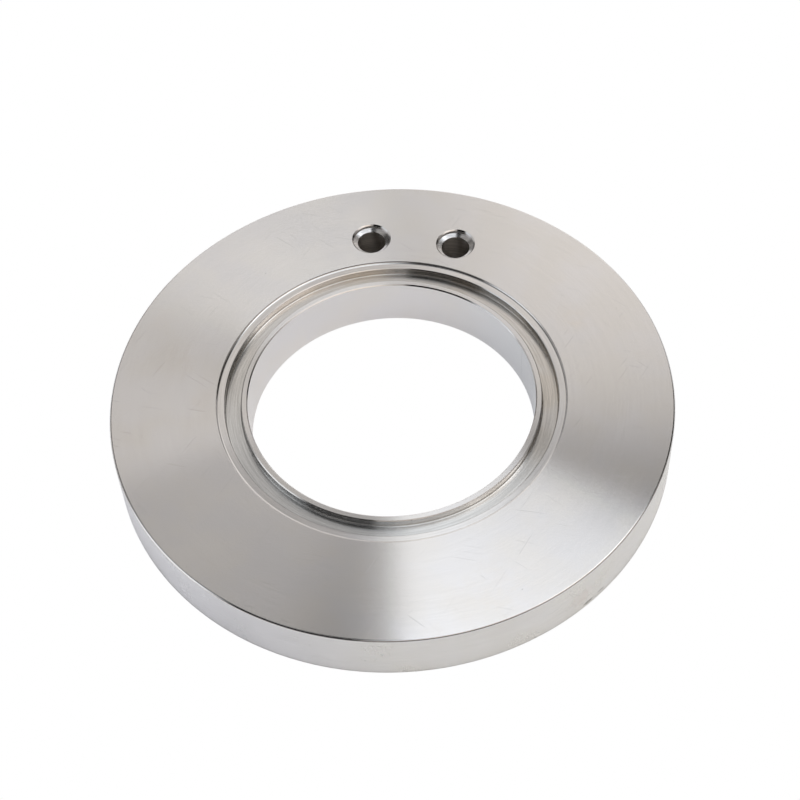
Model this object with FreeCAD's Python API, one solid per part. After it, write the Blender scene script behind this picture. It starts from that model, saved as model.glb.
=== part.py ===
"""A ring flange turned from one piece of stainless steel, lying with its sealing face up."""
import FreeCAD, Part
import math
import os

Vector = FreeCAD.Vector

# Driving sizes in millimetres. Widths run outward from the bore, depths down from the face beside them.
# The back face lies on z = 0 and the bore's axis is the z axis.
thickness = 21.0
bore_diameter = 102.4
lip_width = 2.3
groove_width = 5.75
land_width = 2.15
face_width = 37.7

# The land and the lip lie a little below the face, and the groove is cut down from them.
recess_depth = 0.7
recess_wall_run = 0.9
groove_depth = 3.0
groove_corner_radius = 0.5
groove_inner_break = 0.35
groove_outer_break = 0.25

# Broken edges of the ring.
rim_top_break = 0.5
rim_back_break = 0.4
bore_top_break = 0.4
bore_back_break = 1.0

# Two bolt holes beside each other, each with a shallow stepped mouth.
hole_diameter = 10.5
hole_spacing = 32.0
hole_from_face_edge = 12.06
seat_width = 1.65
seat_slope_degrees = 20.0
mouth_depth = 1.5
mouth_edge_break = 0.45
hole_back_break = 0.5

# Radii that follow from the widths.
bore_radius = bore_diameter / 2
groove_inner_radius = bore_radius + lip_width
groove_outer_radius = groove_inner_radius + groove_width
recess_radius = groove_outer_radius + land_width
face_inner_radius = recess_radius + recess_wall_run
outer_radius = face_inner_radius + face_width

# Heights that follow from the depths.
land_height = thickness - recess_depth
groove_floor_height = land_height - groove_depth

# Places of the two holes.
pitch_radius = face_inner_radius + hole_from_face_edge
hole_radius = hole_diameter / 2
half_spacing = hole_spacing / 2
hole_row_distance = math.sqrt(pitch_radius**2 - half_spacing**2)


def profile_point(radius, height):
    """A point of a turned profile, in the half plane right of the z axis."""
    return Vector(radius, 0, height)


def straight_run(points):
    """Straight edges through the points in their order."""
    return [Part.LineSegment(start, end).toShape() for start, end in zip(points, points[1:])]


def corner_arc(centre_radius, centre_height, radius, from_degrees, to_degrees):
    """A rounded corner of a profile, from one direction out of its centre to another."""
    middle_degrees = (from_degrees + to_degrees) / 2
    stations = []
    for degrees in (from_degrees, middle_degrees, to_degrees):
        angle = math.radians(degrees)
        along = radius * math.cos(angle)
        up = radius * math.sin(angle)
        stations.append(profile_point(centre_radius + along, centre_height + up))
    return Part.Arc(*stations).toShape()


def turned(edges, axis_place=Vector(0, 0, 0)):
    """The solid that a closed profile sweeps in one full turn about an upright axis."""
    face = Part.Face(Part.Wire(edges))
    face.translate(axis_place)
    return face.revolve(axis_place, Vector(0, 0, 1), 360)


def ring_profile():
    """The ring's section, from the bore over the back and the rim to the face and the groove."""
    outside = straight_run([
        profile_point(groove_outer_radius, groove_floor_height + groove_corner_radius),
        profile_point(groove_outer_radius, land_height - groove_outer_break),
        profile_point(groove_outer_radius + groove_outer_break, land_height),
        profile_point(recess_radius, land_height),
        profile_point(face_inner_radius, thickness),
        profile_point(outer_radius - rim_top_break, thickness),
        profile_point(outer_radius, thickness - rim_top_break),
        profile_point(outer_radius, rim_back_break),
        profile_point(outer_radius - rim_back_break, 0),
        profile_point(bore_radius + bore_back_break, 0),
        profile_point(bore_radius, bore_back_break),
        profile_point(bore_radius, land_height - bore_top_break),
        profile_point(bore_radius + bore_top_break, land_height),
        profile_point(groove_inner_radius - groove_inner_break, land_height),
        profile_point(groove_inner_radius, land_height - groove_inner_break),
        profile_point(groove_inner_radius, groove_floor_height + groove_corner_radius),
    ])
    corner_height = groove_floor_height + groove_corner_radius
    inner_corner_centre = groove_inner_radius + groove_corner_radius
    outer_corner_centre = groove_outer_radius - groove_corner_radius
    inner_corner = corner_arc(inner_corner_centre, corner_height, groove_corner_radius, 180, 270)
    floor = straight_run([
        profile_point(inner_corner_centre, groove_floor_height),
        profile_point(outer_corner_centre, groove_floor_height),
    ])
    outer_corner = corner_arc(outer_corner_centre, corner_height, groove_corner_radius, 270, 360)
    return outside + [inner_corner] + floor + [outer_corner]


def hole_cutter(across, away):
    """What is cut away for one hole: a broken edge, a wall, a sloping seat and the drilled bore."""
    mouth_radius = hole_radius + seat_width
    seat_fall = seat_width * math.tan(math.radians(seat_slope_degrees))
    seat_height = thickness - mouth_depth
    outline = [
        profile_point(0, 0),
        profile_point(hole_radius + hole_back_break, 0),
        profile_point(hole_radius, hole_back_break),
        profile_point(hole_radius, seat_height - seat_fall),
        profile_point(mouth_radius, seat_height),
        profile_point(mouth_radius, thickness - mouth_edge_break),
        profile_point(mouth_radius + mouth_edge_break, thickness),
        profile_point(0, thickness),
        profile_point(0, 0),
    ]
    return turned(straight_run(outline), Vector(across, away, 0))


def flange_ring():
    """The ring with its two holes."""
    ring = turned(ring_profile())
    for across in (-half_spacing, half_spacing):
        ring = ring.cut(hole_cutter(across, hole_row_distance))
    return ring.Solids[0]


os.makedirs("parts", exist_ok=True)
shape = flange_ring()
shape.exportStep("parts/flange_ring.step")
box = shape.BoundBox
print("flange_ring", shape.ShapeType, "solids", len(shape.Solids), "valid", shape.isValid())
print("outer diameter", round(2 * outer_radius, 3), "box", box.XLength, box.YLength, box.ZLength)
print("volume mm3", round(shape.Volume, 1), "hole row at y", round(hole_row_distance, 3))
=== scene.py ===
"""The looks of a turned stainless steel ring flange: fine mesh, metal, studio lights and camera."""
from collections import namedtuple
import math
import bpy
from mathutils import Matrix, Vector
from mathutils.geometry import area_tri, delaunay_2d_cdt

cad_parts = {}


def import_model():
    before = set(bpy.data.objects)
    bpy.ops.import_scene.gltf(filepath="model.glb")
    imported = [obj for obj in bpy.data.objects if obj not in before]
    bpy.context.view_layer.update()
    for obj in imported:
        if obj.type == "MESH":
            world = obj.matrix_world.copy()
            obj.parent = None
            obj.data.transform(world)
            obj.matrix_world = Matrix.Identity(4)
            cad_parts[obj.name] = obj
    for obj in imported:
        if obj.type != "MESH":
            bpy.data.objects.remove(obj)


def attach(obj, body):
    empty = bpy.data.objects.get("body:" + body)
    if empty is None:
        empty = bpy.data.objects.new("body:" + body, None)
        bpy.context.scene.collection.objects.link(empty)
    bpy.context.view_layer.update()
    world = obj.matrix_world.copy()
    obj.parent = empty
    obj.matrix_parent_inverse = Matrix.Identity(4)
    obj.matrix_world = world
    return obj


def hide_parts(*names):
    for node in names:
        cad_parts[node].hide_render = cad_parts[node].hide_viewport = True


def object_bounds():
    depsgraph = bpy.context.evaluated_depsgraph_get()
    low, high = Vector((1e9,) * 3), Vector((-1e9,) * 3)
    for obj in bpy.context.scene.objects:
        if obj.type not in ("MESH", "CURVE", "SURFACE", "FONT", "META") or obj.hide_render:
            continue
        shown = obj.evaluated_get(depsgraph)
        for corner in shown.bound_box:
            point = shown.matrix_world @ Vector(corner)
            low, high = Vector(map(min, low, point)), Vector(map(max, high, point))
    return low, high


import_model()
cad_low, cad_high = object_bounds()

MM = 0.001

# Overall sizes, read from the frame, in millimetres.
OUTER_RADIUS = (cad_high.x - cad_low.x) / 2 / MM
THICKNESS = (cad_high.z - cad_low.z) / MM

# Sizes of the turned section in millimetres, as they are in the solid.
BORE_RADIUS = 51.2
LIP_WIDTH = 2.3
GROOVE_WIDTH = 5.75
LAND_WIDTH = 2.15
RECESS_DEPTH = 0.7
RECESS_WALL_RUN = 0.9
GROOVE_DEPTH = 3.0
GROOVE_CORNER_RADIUS = 0.5
GROOVE_INNER_BREAK = 0.35
GROOVE_OUTER_BREAK = 0.25
RIM_TOP_BREAK = 0.5
RIM_BACK_BREAK = 0.4
BORE_TOP_BREAK = 0.4
BORE_BACK_BREAK = 1.0

# Sizes of the two bolt holes in millimetres.
HOLE_RADIUS = 5.25
HALF_SPACING = 16.0
PITCH_RADIUS = 74.36
SEAT_WIDTH = 1.65
SEAT_SLOPE_DEGREES = 20.0
MOUTH_DEPTH = 1.5
MOUTH_EDGE_BREAK = 0.45
HOLE_BACK_BREAK = 0.5

# Radii and heights that follow from them.
GROOVE_INNER_RADIUS = BORE_RADIUS + LIP_WIDTH
GROOVE_OUTER_RADIUS = GROOVE_INNER_RADIUS + GROOVE_WIDTH
RECESS_RADIUS = GROOVE_OUTER_RADIUS + LAND_WIDTH
FACE_INNER_RADIUS = RECESS_RADIUS + RECESS_WALL_RUN
LAND_HEIGHT = THICKNESS - RECESS_DEPTH
GROOVE_FLOOR_HEIGHT = LAND_HEIGHT - GROOVE_DEPTH
HOLE_ROW_DISTANCE = math.sqrt(PITCH_RADIUS**2 - HALF_SPACING**2)
HOLE_CENTRES = [(-HALF_SPACING, HOLE_ROW_DISTANCE), (HALF_SPACING, HOLE_ROW_DISTANCE)]

# How finely the mesh is divided.
RING_STEPS = 480
HOLE_STEPS = 96
CORNER_STEPS = 4
BIG_CORNER_STEPS = 10
FACE_RINGS = 9
HOLE_SECTOR_STEPS = 27
PATCH_STRIDE = 3
PATCH_CLEARANCE = 1.2
LEAST_AREA = 1e-3
MERGE_DISTANCE = 1e-5

# How far the real edges are rounded by polishing, in millimetres.
SOFT_EDGE = 0.7
FINE_EDGE = 0.1
FINEST_EDGE = 0.05

# The wall of the step is hollow. It rises from the land in a curve of this radius, and its steep part
# runs this far outward, in millimetres.
STEP_HOLLOW = 0.86
STEP_STEEP_RUN = 0.22

# The camera, as found from the outlines in the photograph. Lengths are in metres.
PICTURE_SIDE = 800
FOCAL_PIXELS = 1781.15
SENSOR_WIDTH_MM = 36.0
CAMERA_DISTANCE = 0.63146
CAMERA_ELEVATION = 52.988
CAMERA_ROLL = 3.2394
CAMERA_AIM_ASIDE = 0.00295
CAMERA_AIM_DOWN = 0.00248
CAMERA_NEAR = 0.01
CAMERA_FAR = 100
TURN_OF_VIEW = 9.02

# Surfaces that were worked in different ways, in the order of the mesh's material slots.
FINISHES = ["turned", "groove", "edge", "rim", "seat", "drilled"]

# A finish spreads a reflection over two slopes: across the cutting rings and along them. Its metal
# changes between two colours in blotches. Its rings and ripples are heights in millimetres, its stain
# is how much darker the darkest part of a ring is, and its unevenness is the change in roughness.
Finish = namedtuple("Finish", "across along cool warm rings ripples stain unevenness")
STEEL_COOL = (0.765, 0.746, 0.745)
STEEL_WARM = (0.778, 0.751, 0.729)
RIM_COOL = (0.815, 0.800, 0.778)
RIM_WARM = (0.825, 0.805, 0.765)
TAN_COOL = (0.735, 0.712, 0.690)
TAN_WARM = (0.725, 0.680, 0.625)
# The drilled walls' colours are much darker than the steel's: painted shade inside the bolt holes.
SHADED_HOLE_COOL = (0.64, 0.60, 0.56)
SHADED_HOLE_WARM = (0.48, 0.435, 0.390)
LOOKS = {
    "turned": Finish(0.12, 0.010, STEEL_COOL, STEEL_WARM, 0.0006, 0.0024, 0.025, 0.14),
    "groove": Finish(0.10, 0.016, TAN_COOL, TAN_WARM, 0.0030, 0.0030, 0.16, 0.25),
    "edge": Finish(0.04, 0.012, STEEL_COOL, STEEL_WARM, 0.0010, 0.0040, 0.10, 0.20),
    "rim": Finish(0.20, 0.020, RIM_COOL, RIM_WARM, 0.0020, 0.0012, 0.06, 0.20),
    "seat": Finish(0.08, 0.014, STEEL_COOL, STEEL_WARM, 0.0060, 0.0030, 0.25, 0.25),
    "drilled": Finish(0.35, 0.060, SHADED_HOLE_COOL, SHADED_HOLE_WARM, 0.0080, 0.0120, 0.30, 0.25),
}

# At full anisotropy the slopes along the rings are narrower than those across them by this share, and
# a quarter turn lays the narrow ones along the rings.
MOST_ANISOTROPY = 0.9
ANISOTROPY_TURN = 0.25

# Sizes of the metal's detail in millimetres.
RING_PITCH = 0.45
RING_LENGTH = 14.0
RIPPLE_SIZE = 3.5
BLOTCH_SIZE = 22.0
GRAIN_SIZE = 0.7
DOT_SPACING = 6.5
DOT_RADIUS = 0.32
DOT_DEPTH = 0.01
SCRATCH_LENGTH = 16.0
SCRATCH_SPACING = 3.0
SCRATCH_HALF_WIDTH = 0.15
SCRATCH_DEPTH = 0.002

# How much more a millimetre of height counts than one of radius where the rings are spaced.
CLIMB_SHARE = 1.37

# How many finer layers the noises have.
COARSE_DETAIL = 3.0
FINE_DETAIL = 2.0

# Noise lies round one half. While it passes through one of these spans, its effect goes from none to all.
BLOTCH_SPAN = (0.35, 0.65)
NOISE_SPAN = (0.30, 0.70)

# The least and the greatest factor that noise gives: on how strong a smudge is, and for the flecks on
# the metal's brightness and on its roughness.
PATCHY_SMUDGE = (0.4, 1.0)
FLECK_SHADE = (0.982, 1.012)
FLECK_ROUGHNESS = (0.95, 1.05)

# What the marks do to the metal: factors on its brightness, a share of colour, and added roughness.
DOT_SHADE = 0.62
SCRATCH_SHADE = 0.88
SMUDGE_COVER = 0.8
SMUDGE_ROUGHENING = 0.12

# Dots and scratches are shown where a chance value passes into its span. A core is the share of a
# mark's half width or reach that shows in full, before the mark fades out.
DOT_CHANCE = (0.45, 0.9)
DOT_CORE = 0.4
SCRATCH_CHANCE = (0.70, 1.0)
SCRATCH_CORE = 0.3
SCRATCH_REACH_CORE = 0.4

# Scratches lie in lanes, one set of lanes for each direction in degrees. A lane's cells start at a
# place of its own, and in its cell a scratch lies aside, slants and reaches by these shares at most.
SCRATCH_TURNS = [35, -62, 8]
LANE_START_RATE = 12.9
LANE_START_SPREAD = 50.0
SCRATCH_ASIDE = 0.4
SCRATCH_SLANT = 0.8
SCRATCH_REACH = 0.45

# Faint warm smudges: the middle of each in millimetres, its radius, and how strong it is.
Smudge = namedtuple("Smudge", "across away up radius strength")
SMUDGES = {
    "right": Smudge(61.9, 39.8, 21.0, 9.0, 1.0),
    "left": Smudge(-78.9, 10.5, 21.0, 12.0, 0.5),
    "left_back": Smudge(-88.6, 26.1, 21.0, 9.0, 0.6),
    "left_front": Smudge(-67.2, -9.0, 21.0, 7.0, 0.6),
    "front": Smudge(43.0, -78.0, 21.0, 22.0, 0.55),
    "rim_front": Smudge(71.4, -70.0, 8.6, 7.0, 1.5),
}
SMUDGE_COLOUR = (0.790, 0.746, 0.702)

# Faint cool films: where each is strongest, as an azimuth in degrees, how far it reaches to both sides,
# out to what radius in millimetres, and its colour. Its round edge is this soft, in millimetres.
Film = namedtuple("Film", "azimuth reach end_radius colour")
FILMS = {
    "turned": Film(22, 60, 51.8, (0.734, 0.740, 0.757)),
    "groove": Film(250, 115, 200.0, (0.745, 0.743, 0.738)),
    "rim": Film(222, 60, 200.0, (0.788, 0.783, 0.806)),
}
FILM_EDGE = 0.3

# Small nicks low on the rim: azimuth in degrees, then height, half length and half width in millimetres,
# how much each climbs along its length, and its depth. The cores are the shares that are at full depth.
Nick = namedtuple("Nick", "azimuth height half_length half_width slant depth")
NICKS = {
    "deep": Nick(-42.4, 2.3, 2.6, 0.60, 0.12, 0.30),
    "faint": Nick(-38.9, 2.9, 2.0, 0.35, 0.10, 0.08),
}
NICK_LENGTH_CORE = 0.3
NICK_WIDTH_CORE = 0.1
# The nicks are real dents in the height, and they are also painted nearly this black: painted shade in
# the dents.
NICK_PAINTED_SHADE = (0.12, 0.11, 0.10)

# The studio's soft lights, as glowing patches of one dome over the flange. Each lies a half width to
# both sides of its azimuth, from a low to a high elevation, and fades out over its blurs. Angles are in
# degrees, azimuths go round from the x axis, and a warm light has a little more red than blue.
SoftLight = namedtuple("SoftLight", "azimuth half_width low high side_blur end_blur glow warmth")
OVERHEAD_LIGHTS = {
    "overhead_right": SoftLight(0, 101, 58.7, 90, 4, 1, 1.13, -0.05),
    "overhead_corner": SoftLight(60, 41, 48, 58.7, 4, 1, 1.13, -0.05),
}
SOFT_LIGHTS = {
    "overhead_back": SoftLight(91, 14, 52, 90, 4, 2, 0.33, 0.0),
    "overhead_left": SoftLight(190, 68, 66, 76, 3, 3, 0.42, 0.0),
    "right_high": SoftLight(2, 28, 50, 60, 3, 5, 1.7, 0.08),
    "right_gap": SoftLight(38, 10, 58, 66, 5, 2, 1.1, -0.1),
    "right": SoftLight(352, 31, -4, 75, 30, 8, 0.35, 0.05),
    "front_high": SoftLight(305, 25, 40, 56, 25, 14, 0.8, 0.12),
    "front": SoftLight(317, 53, 32, 43, 3, 10, 0.95, 0.06),
    "front_low": SoftLight(270, 56, 0, 32, 16, 6, 0.07, 0.0),
    "back": SoftLight(82, 20, 24, 52, 30, 13, 1.10, 0.04),
    "back_low": SoftLight(98, 31, -6, 6, 12, 2, 1.4, 0.04),
    "back_left_high": SoftLight(120, 15, 36, 54, 12, 2, 0.68, 0.04),
    "back_left": SoftLight(112, 12, 7, 34, 3, 14, 0.63, 0.0),
    "left_high": SoftLight(140, 36, 53, 66, 5, 5, 0.41, 0.02),
    "left": SoftLight(166, 14, 24, 35, 6, 7, 0.35, 0.02),
    "left_low": SoftLight(198, 17, -5, 47, 8, 3, 0.82, -0.05),
    "left_wall": SoftLight(133, 88, 6, 22, 3, 6, 0.61, 0.0),
}

# The overhead lights end towards the back at one straight edge. It is given on a level ceiling one
# unit up: the direction square to the edge, how far out the edge lies, and how soft it is. Directions
# under the least elevation count as that elevation, because the ceiling doesn't reach the horizon.
BACK_EDGE_AZIMUTH = 74
BACK_EDGE_REACH = 0.606
BACK_EDGE_BLUR = 0.02
LEAST_ELEVATION = 1

# The dome and the round cards under the flange, in metres, and the dome's steps in degrees.
DOME_RADIUS = 3.0
DOME_STEP = 1
TOP_ELEVATION = 90
CARD_STEPS = 128
PAPER_RADIUS = 40.0
PAPER_HEIGHT = -0.0003
TABLE_RADIUS = 4.0
TABLE_HEIGHT = -0.0002
SHADE_HEIGHT = -0.0001
TABLE_COLOUR = (0.8, 0.8, 0.8)
TABLE_ROUGHNESS = 0.9
TABLE_GLOW = (0.38, 0.38, 0.39)
WHITE = (1, 1, 1)
BLACK = (0, 0, 0)

# How far the dark line of contact reaches out from under the rim, in millimetres.
SHADE_REACH = 0.6


class MeshParts:
    """Places, normals and faces of a mesh while it is built, in millimetres."""

    def __init__(self):
        self.places = []
        self.normals = []
        self.faces = []
        self.finishes = []

    def vertex(self, place, normal):
        self.places.append(place)
        self.normals.append(normal)
        return len(self.places) - 1

    def face(self, vertices, finish):
        self.faces.append(vertices)
        self.finishes.append(FINISHES.index(finish))

    def made(self, name):
        """The finished mesh in metres, smooth, with the exact normals of the form."""
        mesh = bpy.data.meshes.new(name)
        mesh.from_pydata([place * MM for place in self.places], [], self.faces)
        mesh.polygons.foreach_set("material_index", self.finishes)
        mesh.shade_smooth()
        mesh.normals_split_custom_set_from_vertices(self.normals)
        return mesh


# A corner of a section: its place, how far it is rounded, in how many steps, and with what finish.
# The last is the finish of the straight run from this corner to the next.
Corner = namedtuple("Corner", "radius height rounding steps finish run_finish")


def rounded_corner(before, corner, after):
    """Stations round one corner of a section: radius, height, and the outward normal's two parts."""
    rounding, steps = corner.rounding, corner.steps
    place = Vector(corner[:2])
    arriving = (place - Vector(before[:2])).normalized()
    leaving = (Vector(after[:2]) - place).normalized()
    turn = math.atan2(arriving.x * leaving.y - arriving.y * leaving.x, arriving.dot(leaving))
    side = math.copysign(1.0, turn)
    first_normal = Vector((-arriving.y, arriving.x))
    start = place - arriving * rounding * math.tan(abs(turn) / 2)
    centre = start + first_normal * rounding * side
    stations = []
    for step in range(steps + 1):
        normal = Matrix.Rotation(turn * step / steps, 2) @ first_normal
        point = centre - normal * rounding * side
        stations.append((point.x, point.y, normal.x, normal.y))
    return stations


def straight_stations(start, end, count):
    """Stations spread evenly between two others, ends left out."""
    stations = []
    for step in range(1, count + 1):
        share = step / (count + 1)
        radius = start[0] + (end[0] - start[0]) * share
        height = start[1] + (end[1] - start[1]) * share
        stations.append((radius, height, start[2], start[3]))
    return stations


def ring_corners():
    """Corners of the ring's section in their order, with the metal on the right."""
    inner_break = GROOVE_INNER_RADIUS - GROOVE_INNER_BREAK
    outer_break = GROOVE_OUTER_RADIUS + GROOVE_OUTER_BREAK
    inner_height = LAND_HEIGHT - GROOVE_INNER_BREAK
    outer_height = LAND_HEIGHT - GROOVE_OUTER_BREAK
    few, many = CORNER_STEPS, BIG_CORNER_STEPS
    bend = GROOVE_CORNER_RADIUS
    step_foot = FACE_INNER_RADIUS - STEP_STEEP_RUN
    return [
        Corner(FACE_INNER_RADIUS, THICKNESS, FINE_EDGE, few, "edge", "turned"),
        Corner(OUTER_RADIUS - RIM_TOP_BREAK, THICKNESS, SOFT_EDGE, few, "edge", "edge"),
        Corner(OUTER_RADIUS, THICKNESS - RIM_TOP_BREAK, SOFT_EDGE, few, "edge", "rim"),
        Corner(OUTER_RADIUS, RIM_BACK_BREAK, FINE_EDGE, few, "edge", "edge"),
        Corner(OUTER_RADIUS - RIM_BACK_BREAK, 0, FINE_EDGE, few, "edge", "turned"),
        Corner(BORE_RADIUS + BORE_BACK_BREAK, 0, FINE_EDGE, few, "edge", "edge"),
        Corner(BORE_RADIUS, BORE_BACK_BREAK, FINE_EDGE, few, "edge", "turned"),
        Corner(BORE_RADIUS, LAND_HEIGHT - BORE_TOP_BREAK, FINE_EDGE, few, "edge", "edge"),
        Corner(BORE_RADIUS + BORE_TOP_BREAK, LAND_HEIGHT, FINE_EDGE, few, "edge", "turned"),
        Corner(inner_break, LAND_HEIGHT, FINEST_EDGE, few, "turned", "turned"),
        Corner(GROOVE_INNER_RADIUS, inner_height, FINEST_EDGE, few, "turned", "groove"),
        Corner(GROOVE_INNER_RADIUS, GROOVE_FLOOR_HEIGHT, bend, many, "groove", "groove"),
        Corner(GROOVE_OUTER_RADIUS, GROOVE_FLOOR_HEIGHT, bend, many, "groove", "groove"),
        Corner(GROOVE_OUTER_RADIUS, outer_height, FINEST_EDGE, few, "edge", "edge"),
        Corner(outer_break, LAND_HEIGHT, FINEST_EDGE, few, "edge", "edge"),
        Corner(step_foot, LAND_HEIGHT, STEP_HOLLOW, many, "edge", "edge"),
    ]


# Which of those corners the flat runs of the face and of the back start from.
FACE_CORNER = 0
BACK_CORNER = 4


def ring_section():
    """All stations of the ring's section, the finish after each, and the runs that are face and back."""
    corners = ring_corners()
    arcs = []
    for index, corner in enumerate(corners):
        after = corners[(index + 1) % len(corners)]
        arcs.append(rounded_corner(corners[index - 1], corner, after))
    stations = []
    finishes = []
    flat_runs = []
    for index, (corner, arc) in enumerate(zip(corners, arcs)):
        stations += arc
        finishes += [corner.finish] * corner.steps + [corner.run_finish]
        if index in (FACE_CORNER, BACK_CORNER):
            run_start = len(stations) - 1
            stations += straight_stations(arc[-1], arcs[index + 1][0], FACE_RINGS)
            finishes += [corner.run_finish] * FACE_RINGS
            flat_runs.append((run_start, len(stations)))
    return stations, finishes, flat_runs


def hole_section():
    """Stations of one hole's wall, from the back up to the face, and the finish after each."""
    mouth_radius = HOLE_RADIUS + SEAT_WIDTH
    seat_height = THICKNESS - MOUTH_DEPTH
    seat_fall = SEAT_WIDTH * math.tan(math.radians(SEAT_SLOPE_DEGREES))
    beyond_the_mouth = 3 * mouth_radius
    on_the_back = (beyond_the_mouth, 0)
    on_the_face = (beyond_the_mouth, THICKNESS)
    few = CORNER_STEPS
    corners = [
        Corner(HOLE_RADIUS + HOLE_BACK_BREAK, 0, FINE_EDGE, few, "edge", "edge"),
        Corner(HOLE_RADIUS, HOLE_BACK_BREAK, FINE_EDGE, few, "drilled", "drilled"),
        Corner(HOLE_RADIUS, seat_height - seat_fall, FINE_EDGE, few, "seat", "seat"),
        Corner(mouth_radius, seat_height, FINE_EDGE, few, "seat", "seat"),
        Corner(mouth_radius, THICKNESS - MOUTH_EDGE_BREAK, FINE_EDGE, few, "edge", "edge"),
        Corner(mouth_radius + MOUTH_EDGE_BREAK, THICKNESS, FINE_EDGE, few, "edge", "edge"),
    ]
    stations = []
    finishes = []
    for before, corner, after in zip([on_the_back] + corners, corners, corners[1:] + [on_the_face]):
        stations += rounded_corner(before, corner, after)
        finishes += [corner.finish] * corner.steps + [corner.run_finish]
    return stations, finishes


def turned_vertex(parts, station, angle, centre=(0.0, 0.0)):
    """One vertex of a turned form, at an angle about an upright axis."""
    radius, height, normal_out, normal_up = station
    across, away = math.cos(angle), math.sin(angle)
    place = Vector((centre[0] + radius * across, centre[1] + radius * away, height))
    normal = Vector((normal_out * across, normal_out * away, normal_up))
    return parts.vertex(place, normal)


def hole_wall(parts, centre):
    """One hole's wall. Returns the loop of vertices on the back and the loop on the face."""
    stations, finishes = hole_section()
    rows = []
    for station in stations:
        angles = [math.tau * step / HOLE_STEPS for step in range(HOLE_STEPS)]
        rows.append([turned_vertex(parts, station, angle, centre) for angle in angles])
    for low, high, finish in zip(rows, rows[1:], finishes):
        for step in range(HOLE_STEPS):
            following = (step + 1) % HOLE_STEPS
            parts.face((low[step], high[step], high[following], low[following]), finish)
    return rows[0], rows[-1]


def clear_of_holes(radius, angle):
    """Whether a point of a flat face keeps well away from both holes."""
    least = HOLE_RADIUS + SEAT_WIDTH + MOUTH_EDGE_BREAK + PATCH_CLEARANCE
    point = Vector((radius * math.cos(angle), radius * math.sin(angle)))
    return all((point - Vector(centre)).length > least for centre in HOLE_CENTRES)


def filled_patch(parts, outline, loops, inner, upward):
    """Fills the flat part round the holes between its outline and the holes' loops with triangles."""
    least_radius = min(parts.places[vertex].xy.length for vertex in outline)
    loop_point = parts.places[loops[0][0]].xy
    loop_radius = min((loop_point - Vector(centre)).length for centre in HOLE_CENTRES)
    known = list(outline) + list(inner)
    edges = [(index, (index + 1) % len(outline)) for index in range(len(outline))]
    for loop in loops:
        start = len(known)
        known += loop
        edges += [(start + index, start + (index + 1) % len(loop)) for index in range(len(loop))]
    flat = [parts.places[vertex].xy for vertex in known]
    _, _, triangles, sources, _, _ = delaunay_2d_cdt(flat, edges, [], 1, MERGE_DISTANCE, True)
    for triangle in triangles:
        vertices = [known[sources[corner][0]] for corner in triangle]
        points = [parts.places[vertex].xy for vertex in vertices]
        middle = (points[0] + points[1] + points[2]) / 3
        if any((middle - Vector(centre)).length < loop_radius for centre in HOLE_CENTRES):
            continue
        if middle.length < least_radius or area_tri(*points) < LEAST_AREA:
            continue
        parts.face(tuple(vertices) if upward else tuple(reversed(vertices)), "turned")


def turned_grid(parts, stations, left_out, sector):
    """Columns of vertices round the axis. Those inside the holes' sector leave out the flat runs."""
    grid = []
    for step in range(RING_STEPS):
        angle = math.tau * step / RING_STEPS
        inside_sector = sector[0] < step < sector[-1]
        column = []
        for index, station in enumerate(stations):
            empty = inside_sector and index in left_out
            column.append(None if empty else turned_vertex(parts, station, angle))
        grid.append(column)
    return grid


def ring_faces(parts, grid, finishes, flat_runs, sector):
    """The faces between the columns, but for the flat runs in the holes' sector."""
    for step, here in enumerate(grid):
        following = grid[(step + 1) % RING_STEPS]
        in_sector = sector[0] <= step < sector[-1]
        for index, finish in enumerate(finishes):
            flat = any(first <= index < last for first, last in flat_runs)
            if in_sector and flat:
                continue
            after = (index + 1) % len(finishes)
            corners = (here[index], here[after], following[after], following[index])
            parts.face(corners, finish)


def patch_round_holes(parts, grid, stations, flat_run, sector, loops, upward):
    """Fills one flat run of the holes' sector, round the two holes."""
    first, last = flat_run
    outline = [grid[step][first] for step in sector]
    outline += [grid[sector[-1]][index] for index in range(first + 1, last)]
    outline += [grid[step][last] for step in reversed(sector)]
    outline += [grid[sector[0]][index] for index in range(last - 1, first, -1)]
    inner = []
    for step in range(sector[0] + PATCH_STRIDE, sector[-1], PATCH_STRIDE):
        angle = math.tau * step / RING_STEPS
        for index in range(first + 1, last):
            if clear_of_holes(stations[index][0], angle):
                inner.append(turned_vertex(parts, stations[index], angle))
    filled_patch(parts, outline, loops, inner, upward)


def flange_mesh():
    """The whole flange as one closed mesh: the turned ring, both holes and the flat parts round them."""
    parts = MeshParts()
    stations, finishes, flat_runs = ring_section()
    quarter = RING_STEPS // 4
    sector = range(quarter - HOLE_SECTOR_STEPS, quarter + HOLE_SECTOR_STEPS + 1)
    left_out = set()
    for first, last in flat_runs:
        left_out.update(range(first + 1, last))
    grid = turned_grid(parts, stations, left_out, sector)
    ring_faces(parts, grid, finishes, flat_runs, sector)
    back_loops, face_loops = zip(*[hole_wall(parts, centre) for centre in HOLE_CENTRES])
    face_run, back_run = flat_runs
    patch_round_holes(parts, grid, stations, face_run, sector, face_loops, True)
    patch_round_holes(parts, grid, stations, back_run, sector, back_loops, False)
    return parts.made("flange_ring_fine")


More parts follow.
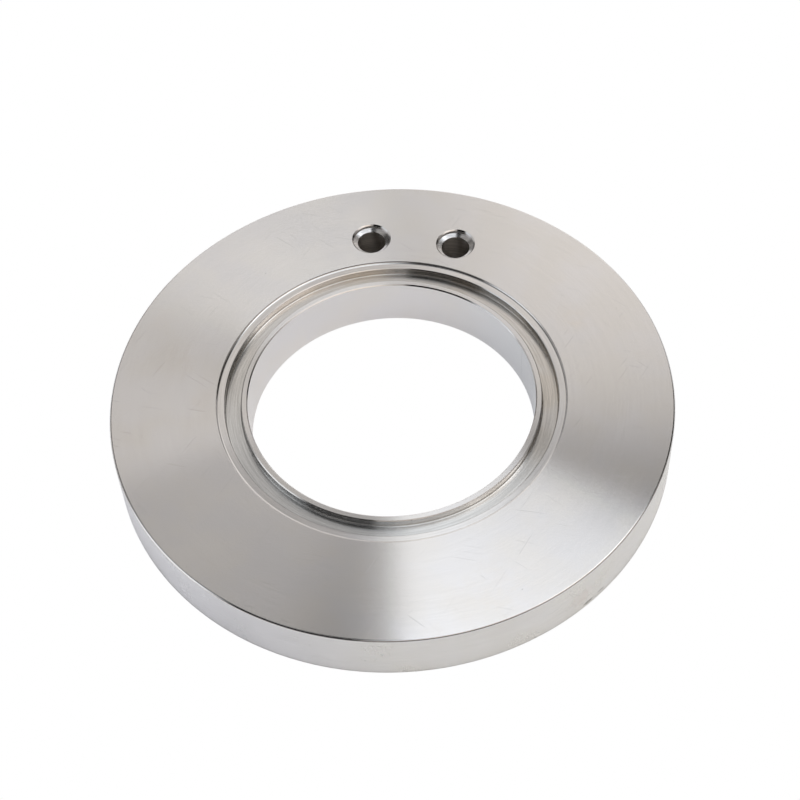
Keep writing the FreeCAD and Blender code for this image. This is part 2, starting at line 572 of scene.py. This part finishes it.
class Wiring:
    """Adds nodes to one material and links them."""

    def __init__(self, material):
        material.use_nodes = True
        self.tree = material.node_tree

    def put(self, socket, value):
        """Gives a socket another node's output, or a plain value."""
        if isinstance(value, bpy.types.NodeSocket):
            self.tree.links.new(value, socket)
        else:
            socket.default_value = value

    def node(self, kind, *values):
        made = self.tree.nodes.new("ShaderNode" + kind)
        for socket, value in zip(made.inputs, values):
            self.put(socket, value)
        return made

    def maths(self, operation, *values):
        made = self.node("Math", *values)
        made.operation = operation
        return made.outputs[0]

    def times(self, first, second):
        return self.maths("MULTIPLY", first, second)

    def minus(self, first, second):
        return self.maths("SUBTRACT", first, second)

    def vector_maths(self, operation, first, second, output="Vector"):
        made = self.tree.nodes.new("ShaderNodeVectorMath")
        made.operation = operation
        self.put(made.inputs[0], first)
        self.put(made.inputs[1], second)
        return made.outputs[output]

    def scaled(self, vector, factor):
        """A vector or a colour multiplied by one factor."""
        made = self.tree.nodes.new("ShaderNodeVectorMath")
        made.operation = "SCALE"
        self.put(made.inputs[0], vector)
        self.put(made.inputs["Scale"], factor)
        return made.outputs["Vector"]

    def noise(self, place, size, detail=FINE_DETAIL, extra=None):
        """Soft noise of about one size. The extra value is a fourth coordinate."""
        made = self.tree.nodes.new("ShaderNodeTexNoise")
        made.noise_dimensions = "3D" if extra is None else "4D"
        self.put(made.inputs["Vector"], self.scaled(place, 1 / size))
        if extra is not None:
            self.put(made.inputs["W"], extra)
        made.inputs["Scale"].default_value = 1.0
        made.inputs["Detail"].default_value = detail
        return made.outputs["Fac"]

    def between(self, value, low, high, first=0.0, last=1.0):
        """Turns the span from low to high into the span from first to last, softly at both ends."""
        made = self.tree.nodes.new("ShaderNodeMapRange")
        made.interpolation_type = "SMOOTHSTEP"
        for socket, given in zip(made.inputs, (value, low, high, first, last)):
            self.put(socket, given)
        return made.outputs["Result"]

    def blend(self, share, first, second):
        """A colour between two others."""
        made = self.tree.nodes.new("ShaderNodeMix")
        made.data_type = "RGBA"
        self.put(made.inputs["Factor"], share)
        colours = [socket for socket in made.inputs if socket.type == "RGBA"]
        for socket, colour in zip(colours, (first, second)):
            self.put(socket, (*colour, 1) if isinstance(colour, tuple) else colour)
        return next(socket for socket in made.outputs if socket.type == "RGBA")


def place_on_flange(wiring):
    """The place on the flange in millimetres, its parts, and its distance from the upright axis."""
    place = wiring.scaled(wiring.node("TexCoord").outputs["Object"], 1 / MM)
    parts = wiring.node("SeparateXYZ", place).outputs
    level = wiring.vector_maths("MULTIPLY", place, (1, 1, 0))
    radius = wiring.vector_maths("LENGTH", level, (0, 0, 0), "Value")
    return place, parts, radius


def cutting_rings(wiring, place, up, radius):
    """Fine uneven rings round the axis, from nought to one."""
    along_section = wiring.maths("MULTIPLY_ADD", up, CLIMB_SHARE, radius)
    count = wiring.maths("DIVIDE", along_section, RING_PITCH)
    return wiring.noise(place, RING_LENGTH, COARSE_DETAIL, count)


def smudges(wiring, place, ripples):
    """How strongly the warm smudges show."""
    total = 0.0
    for smudge in SMUDGES.values():
        middle = (smudge.across, smudge.away, smudge.up)
        distance = wiring.vector_maths("DISTANCE", place, middle, "Value")
        share = wiring.between(distance, 0.0, smudge.radius, smudge.strength, 0.0)
        total = wiring.maths("ADD", share, total)
    patchy = wiring.between(ripples, *BLOTCH_SPAN, *PATCHY_SMUDGE)
    return wiring.times(total, patchy)


def dots(wiring, place):
    """Tiny scattered pits, from nought to one."""
    cells = wiring.node("TexVoronoi")
    wiring.put(cells.inputs["Vector"], wiring.scaled(place, 1 / DOT_SPACING))
    cells.inputs["Scale"].default_value = 1.0
    size = DOT_RADIUS / DOT_SPACING
    pit = wiring.between(cells.outputs["Distance"], size * DOT_CORE, size, 1.0, 0.0)
    chance = wiring.node("SeparateColor", cells.outputs["Color"]).outputs[0]
    return wiring.times(pit, wiring.between(chance, *DOT_CHANCE))


def scratches(wiring, place, turn, seed):
    """Faint straight scratches that run one way over the flat faces, from nought to one."""
    spin = wiring.tree.nodes.new("ShaderNodeVectorRotate")
    spin.rotation_type = "Z_AXIS"
    wiring.put(spin.inputs["Vector"], place)
    spin.inputs["Angle"].default_value = math.radians(turn)
    along, across, _ = wiring.node("SeparateXYZ", spin.outputs["Vector"]).outputs
    lane_place = wiring.maths("DIVIDE", across, SCRATCH_SPACING)
    lane = wiring.maths("FLOOR", lane_place)
    start = wiring.maths("SINE", wiring.times(lane, LANE_START_RATE))
    start = wiring.times(start, LANE_START_SPREAD)
    run_place = wiring.maths("DIVIDE", wiring.maths("ADD", along, start), SCRATCH_LENGTH)
    run = wiring.maths("FLOOR", run_place)
    cell = wiring.node("CombineXYZ", lane, run, float(seed)).outputs[0]
    chance = wiring.tree.nodes.new("ShaderNodeTexWhiteNoise")
    wiring.put(chance.inputs["Vector"], cell)
    shown, shift, slant = wiring.node("SeparateColor", chance.outputs["Color"]).outputs
    along_share = wiring.minus(wiring.maths("FRACT", run_place), 0.5)
    across_share = wiring.minus(wiring.maths("FRACT", lane_place), 0.5)
    middle = wiring.times(wiring.minus(shift, 0.5), SCRATCH_ASIDE)
    tilt = wiring.times(wiring.minus(slant, 0.5), SCRATCH_SLANT)
    middle = wiring.maths("MULTIPLY_ADD", along_share, tilt, middle)
    aside = wiring.maths("ABSOLUTE", wiring.minus(across_share, middle))
    half_width = SCRATCH_HALF_WIDTH / SCRATCH_SPACING
    line = wiring.between(aside, half_width * SCRATCH_CORE, half_width, 1.0, 0.0)
    reach = wiring.times(slant, SCRATCH_REACH)
    fade_start = wiring.times(reach, SCRATCH_REACH_CORE)
    ends = wiring.between(wiring.maths("ABSOLUTE", along_share), fade_start, reach, 1.0, 0.0)
    chosen = wiring.between(shown, *SCRATCH_CHANCE)
    return wiring.times(wiring.times(line, ends), chosen)


def film_share(wiring, place, radius, film):
    """How strongly a cool film shows, from nought to one."""
    around = math.radians(film.azimuth)
    level = wiring.vector_maths("MULTIPLY", place, (1, 1, 0))
    outward = wiring.vector_maths("NORMALIZE", level, (0, 0, 0))
    middle = (math.cos(around), math.sin(around), 0)
    nearness = wiring.vector_maths("DOT_PRODUCT", outward, middle, "Value")
    share = wiring.between(nearness, math.cos(math.radians(film.reach)), 1.0)
    inside = wiring.between(radius, film.end_radius - FILM_EDGE, film.end_radius, 1.0, 0.0)
    return wiring.times(share, inside)


def nicks(wiring, parts):
    """How deep the rim's nicks are, and how much of each place they cover with painted shade."""
    azimuth = wiring.maths("DEGREES", wiring.maths("ARCTAN2", parts[1], parts[0]))
    mm_per_degree = math.radians(OUTER_RADIUS)
    depth = 0.0
    cover = 0.0
    for nick in NICKS.values():
        turn = wiring.minus(azimuth, nick.azimuth)
        along = wiring.times(turn, mm_per_degree)
        up = wiring.minus(parts[2], nick.height)
        up = wiring.minus(up, wiring.times(along, nick.slant))
        length_share = wiring.maths("ABSOLUTE", wiring.maths("DIVIDE", along, nick.half_length))
        width_share = wiring.maths("ABSOLUTE", wiring.maths("DIVIDE", up, nick.half_width))
        share = wiring.between(length_share, NICK_LENGTH_CORE, 1.0, 1.0, 0.0)
        share = wiring.times(share, wiring.between(width_share, NICK_WIDTH_CORE, 1.0, 1.0, 0.0))
        depth = wiring.maths("MULTIPLY_ADD", share, nick.depth, depth)
        cover = wiring.maths("MAXIMUM", share, cover)
    return depth, cover


# What is uneven about the metal. Each value goes from nought to one, but for the smudges' strength.
Detail = namedtuple("Detail", "rings blotch grain ripples smudge pits marks")


def metal_detail(wiring, finish, place, up, radius):
    """All that is uneven about the metal with one finish."""
    ripples = wiring.noise(place, RIPPLE_SIZE)
    marks = 0.0
    if finish == "turned":
        for seed, turn in enumerate(SCRATCH_TURNS):
            marks = wiring.maths("MAXIMUM", scratches(wiring, place, turn, seed), marks)
    return Detail(
        rings=cutting_rings(wiring, place, up, radius),
        blotch=wiring.noise(place, BLOTCH_SIZE, COARSE_DETAIL),
        grain=wiring.noise(place, GRAIN_SIZE),
        ripples=ripples,
        smudge=smudges(wiring, place, ripples),
        pits=dots(wiring, place),
        marks=marks,
    )


def metal_colour(wiring, finish, detail, place, radius):
    """The metal's colour, with its blotches, smudges, film, stain, flecks, dots and scratches."""
    look = LOOKS[finish]
    colour = wiring.blend(wiring.between(detail.blotch, *BLOTCH_SPAN), look.cool, look.warm)
    cover = wiring.maths("MINIMUM", wiring.times(detail.smudge, SMUDGE_COVER), 1.0)
    colour = wiring.blend(cover, colour, SMUDGE_COLOUR)
    if finish in FILMS:
        film = FILMS[finish]
        colour = wiring.blend(film_share(wiring, place, radius, film), colour, film.colour)
    shade = wiring.between(detail.rings, *NOISE_SPAN, 1.0 - look.stain, 1.0)
    shade = wiring.times(shade, wiring.between(detail.grain, *NOISE_SPAN, *FLECK_SHADE))
    shade = wiring.times(shade, wiring.between(detail.pits, 0.0, 1.0, 1.0, DOT_SHADE))
    shade = wiring.times(shade, wiring.between(detail.marks, 0.0, 1.0, 1.0, SCRATCH_SHADE))
    return wiring.scaled(colour, shade)


def metal_height(wiring, look, detail):
    """How far the surface rises or falls, in millimetres."""
    height = wiring.times(detail.rings, look.rings)
    height = wiring.maths("MULTIPLY_ADD", detail.ripples, look.ripples, height)
    height = wiring.maths("MULTIPLY_ADD", detail.pits, -DOT_DEPTH, height)
    return wiring.maths("MULTIPLY_ADD", detail.marks, -SCRATCH_DEPTH, height)


def metal_roughness(wiring, look, detail):
    """The metal's roughness, whose square is the mean of the slopes across the rings and along them."""
    mean_slope = math.sqrt(look.across * look.along)
    least = 1.0 - look.unevenness / 2
    most = 1.0 + look.unevenness / 2
    change = wiring.between(detail.blotch, *NOISE_SPAN, least, most)
    change = wiring.times(change, wiring.between(detail.grain, *NOISE_SPAN, *FLECK_ROUGHNESS))
    change = wiring.maths("MULTIPLY_ADD", detail.smudge, SMUDGE_ROUGHENING, change)
    return wiring.times(change, math.sqrt(mean_slope))


def steel_material(finish):
    """Stainless steel with one finish, rougher across the cutting rings than along them."""
    look = LOOKS[finish]
    material = bpy.data.materials.new("stainless_steel_" + finish)
    wiring = Wiring(material)
    shader = wiring.tree.nodes["Principled BSDF"]
    place, parts, radius = place_on_flange(wiring)
    detail = metal_detail(wiring, finish, place, parts[2], radius)
    colour = metal_colour(wiring, finish, detail, place, radius)
    height = metal_height(wiring, look, detail)
    if finish in ("rim", "edge"):
        depth, cover = nicks(wiring, parts)
        height = wiring.minus(height, depth)
        # Nearly black over the nicks: painted shade in the dents, on top of their real depth.
        colour = wiring.blend(cover, colour, NICK_PAINTED_SHADE)
    wiring.put(shader.inputs["Base Color"], colour)
    wiring.put(shader.inputs["Roughness"], metal_roughness(wiring, look, detail))

    bump = wiring.tree.nodes.new("ShaderNodeBump")
    bump.inputs["Strength"].default_value = 1.0
    bump.inputs["Distance"].default_value = MM
    wiring.put(bump.inputs["Height"], height)
    wiring.put(shader.inputs["Normal"], bump.outputs["Normal"])

    shader.inputs["Metallic"].default_value = 1.0
    anisotropy = (1 - look.along / look.across) / MOST_ANISOTROPY
    shader.inputs["Anisotropic"].default_value = min(anisotropy, 1.0)
    shader.inputs["Anisotropic Rotation"].default_value = ANISOTROPY_TURN
    tangent = wiring.tree.nodes.new("ShaderNodeTangent")
    tangent.direction_type = "RADIAL"
    tangent.axis = "Z"
    wiring.put(shader.inputs["Tangent"], tangent.outputs["Tangent"])
    return material


def plain_emission(name, colour):
    """A material that only glows, with one colour."""
    material = bpy.data.materials.new(name)
    material.use_nodes = True
    nodes = material.node_tree.nodes
    nodes.clear()
    glow = nodes.new("ShaderNodeEmission")
    glow.inputs["Color"].default_value = (*colour, 1)
    glow.inputs["Strength"].default_value = 1.0
    output = nodes.new("ShaderNodeOutputMaterial")
    material.node_tree.links.new(glow.outputs[0], output.inputs["Surface"])
    return material


def ring_card(name, inner, outer, height):
    """A flat round card that faces up, with a round opening where the inner radius isn't nought."""
    places = []
    for radius in (inner, outer):
        for step in range(CARD_STEPS):
            angle = math.tau * step / CARD_STEPS
            places.append((radius * math.cos(angle), radius * math.sin(angle), height))
    faces = [tuple(range(CARD_STEPS, 2 * CARD_STEPS))]
    if inner > 0:
        turns = [(step, (step + 1) % CARD_STEPS) for step in range(CARD_STEPS)]
        faces = [(step, step + CARD_STEPS, after + CARD_STEPS, after) for step, after in turns]
    mesh = bpy.data.meshes.new(name)
    mesh.from_pydata(places, [], faces)
    card = bpy.data.objects.new(name, mesh)
    bpy.context.scene.collection.objects.link(card)
    return card


def table_material(name, glow):
    """Pale matt table top. Its glow stands for the light that the far studio throws on it."""
    material = bpy.data.materials.new(name)
    material.use_nodes = True
    shader = material.node_tree.nodes["Principled BSDF"]
    shader.inputs["Base Color"].default_value = (*TABLE_COLOUR, 1)
    shader.inputs["Roughness"].default_value = TABLE_ROUGHNESS
    shader.inputs["Emission Color"].default_value = (*glow, 1)
    shader.inputs["Emission Strength"].default_value = 1.0
    material.cycles.emission_sampling = "NONE"
    return material


def pale_floor():
    """The white paper that the camera sees, the pale table that the metal mirrors, and its shade."""
    paper = ring_card("white_paper", 0.0, PAPER_RADIUS, PAPER_HEIGHT)
    paper.data.materials.append(plain_emission("paper_white", WHITE))
    for kind in ("diffuse", "glossy", "transmission", "shadow"):
        setattr(paper, "visible_" + kind, False)
    table = ring_card("pale_table", 0.0, TABLE_RADIUS, TABLE_HEIGHT)
    table.data.materials.append(table_material("pale_table", TABLE_GLOW))
    shade_radius = (OUTER_RADIUS + SHADE_REACH) * MM
    shade = ring_card("shaded_table", BORE_RADIUS * MM, shade_radius, SHADE_HEIGHT)
    shade.data.materials.append(table_material("shaded_table", BLACK))
    table.visible_camera = False
    shade.visible_camera = False


def eased(share):
    """A soft step from nought to one."""
    share = min(max(share, 0.0), 1.0)
    return share * share * (3 - 2 * share)


def before_back_edge(azimuth, elevation):
    """How far a direction lies on the lit side of the overhead lights' straight edge."""
    turn = math.radians(azimuth - BACK_EDGE_AZIMUTH)
    steepness = math.tan(math.radians(max(elevation, LEAST_ELEVATION)))
    reach = math.cos(turn) / steepness
    return eased((BACK_EDGE_REACH - reach) / BACK_EDGE_BLUR + 0.5)


def added_glow(lights, azimuth, elevation):
    """The sum of some soft lights' colours in one direction."""
    colour = Vector((0.0, 0.0, 0.0))
    for light in lights.values():
        aside = abs((azimuth - light.azimuth + 180) % 360 - 180)
        share = eased((light.half_width - aside) / light.side_blur + 0.5)
        share *= eased((elevation - light.low) / light.end_blur + 0.5)
        if light.high < TOP_ELEVATION:
            share *= eased((light.high - elevation) / light.end_blur + 0.5)
        tint = Vector((1 + light.warmth, 1.0, 1 - light.warmth))
        colour += tint * light.glow * share
    return colour


def glow_from(azimuth, elevation):
    """The colour of the light that comes from one direction of the dome."""
    overhead = added_glow(OVERHEAD_LIGHTS, azimuth, elevation)
    others = added_glow(SOFT_LIGHTS, azimuth, elevation)
    return overhead * before_back_edge(azimuth, elevation) + others


def light_dome():
    """A dome over the flange that glows where the studio's soft lights are, and that no view sees."""
    azimuths = range(0, 360, DOME_STEP)
    elevations = range(0, TOP_ELEVATION + DOME_STEP, DOME_STEP)
    places = []
    colours = []
    for elevation in elevations:
        for azimuth in azimuths:
            around, up = math.radians(azimuth), math.radians(elevation)
            level = math.cos(up)
            direction = Vector((level * math.cos(around), level * math.sin(around), math.sin(up)))
            places.append(direction * DOME_RADIUS)
            colours += [*glow_from(azimuth, elevation), 1.0]
    count = len(azimuths)
    faces = []
    for row in range(len(elevations) - 1):
        for step in range(count):
            following = (step + 1) % count
            low, high = row * count, (row + 1) * count
            faces.append((low + step, low + following, high + following, high + step))
    mesh = bpy.data.meshes.new("light_dome")
    mesh.from_pydata(places, [], faces)
    glow = mesh.color_attributes.new("glow", "FLOAT_COLOR", "POINT")
    glow.data.foreach_set("color", colours)
    mesh.materials.append(dome_material())
    dome = bpy.data.objects.new("light_dome", mesh)
    bpy.context.scene.collection.objects.link(dome)
    dome.visible_camera = False


def dome_material():
    """Glows with the colour that the dome's mesh holds."""
    material = plain_emission("dome_glow", WHITE)
    material.cycles.emission_sampling = "NONE"
    nodes = material.node_tree.nodes
    stored = nodes.new("ShaderNodeAttribute")
    stored.attribute_name = "glow"
    material.node_tree.links.new(stored.outputs["Color"], nodes["Emission"].inputs["Color"])
    return material


def camera():
    """The camera at the photograph's place, turned about the upright axis with the flange."""
    elevation = math.radians(CAMERA_ELEVATION)
    roll = math.radians(CAMERA_ROLL)
    ahead = Vector((0, math.cos(elevation), -math.sin(elevation)))
    right = Vector((1, 0, 0))
    up = Vector((0, math.sin(elevation), math.cos(elevation)))
    place = -CAMERA_DISTANCE * ahead + CAMERA_AIM_ASIDE * right - CAMERA_AIM_DOWN * up
    place.z += THICKNESS * MM
    side = math.cos(roll) * right - math.sin(roll) * up
    top = math.sin(roll) * right + math.cos(roll) * up
    stand = Matrix((side, top, -ahead)).transposed().to_4x4()
    stand.translation = place
    data = bpy.data.cameras.new("camera")
    data.sensor_width = SENSOR_WIDTH_MM
    data.lens = SENSOR_WIDTH_MM * FOCAL_PIXELS / PICTURE_SIDE
    data.clip_start = CAMERA_NEAR
    data.clip_end = CAMERA_FAR
    shot = bpy.data.objects.new("camera", data)
    shot.matrix_world = Matrix.Rotation(math.radians(TURN_OF_VIEW), 4, "Z") @ stand
    bpy.context.scene.collection.objects.link(shot)
    bpy.context.scene.camera = shot


def world():
    """Plain white beyond the stage."""
    background = bpy.data.worlds.new("studio")
    background.use_nodes = True
    background.node_tree.nodes["Background"].inputs["Color"].default_value = (*WHITE, 1)
    bpy.context.scene.world = background


bpy.context.scene.view_settings.view_transform = "Standard"
flange = bpy.data.objects.new("flange_ring_fine", flange_mesh())
bpy.context.scene.collection.objects.link(flange)
for name in FINISHES:
    flange.data.materials.append(steel_material(name))
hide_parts("flange_ring")
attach(flange, "root")
pale_floor()
light_dome()
world()
camera()
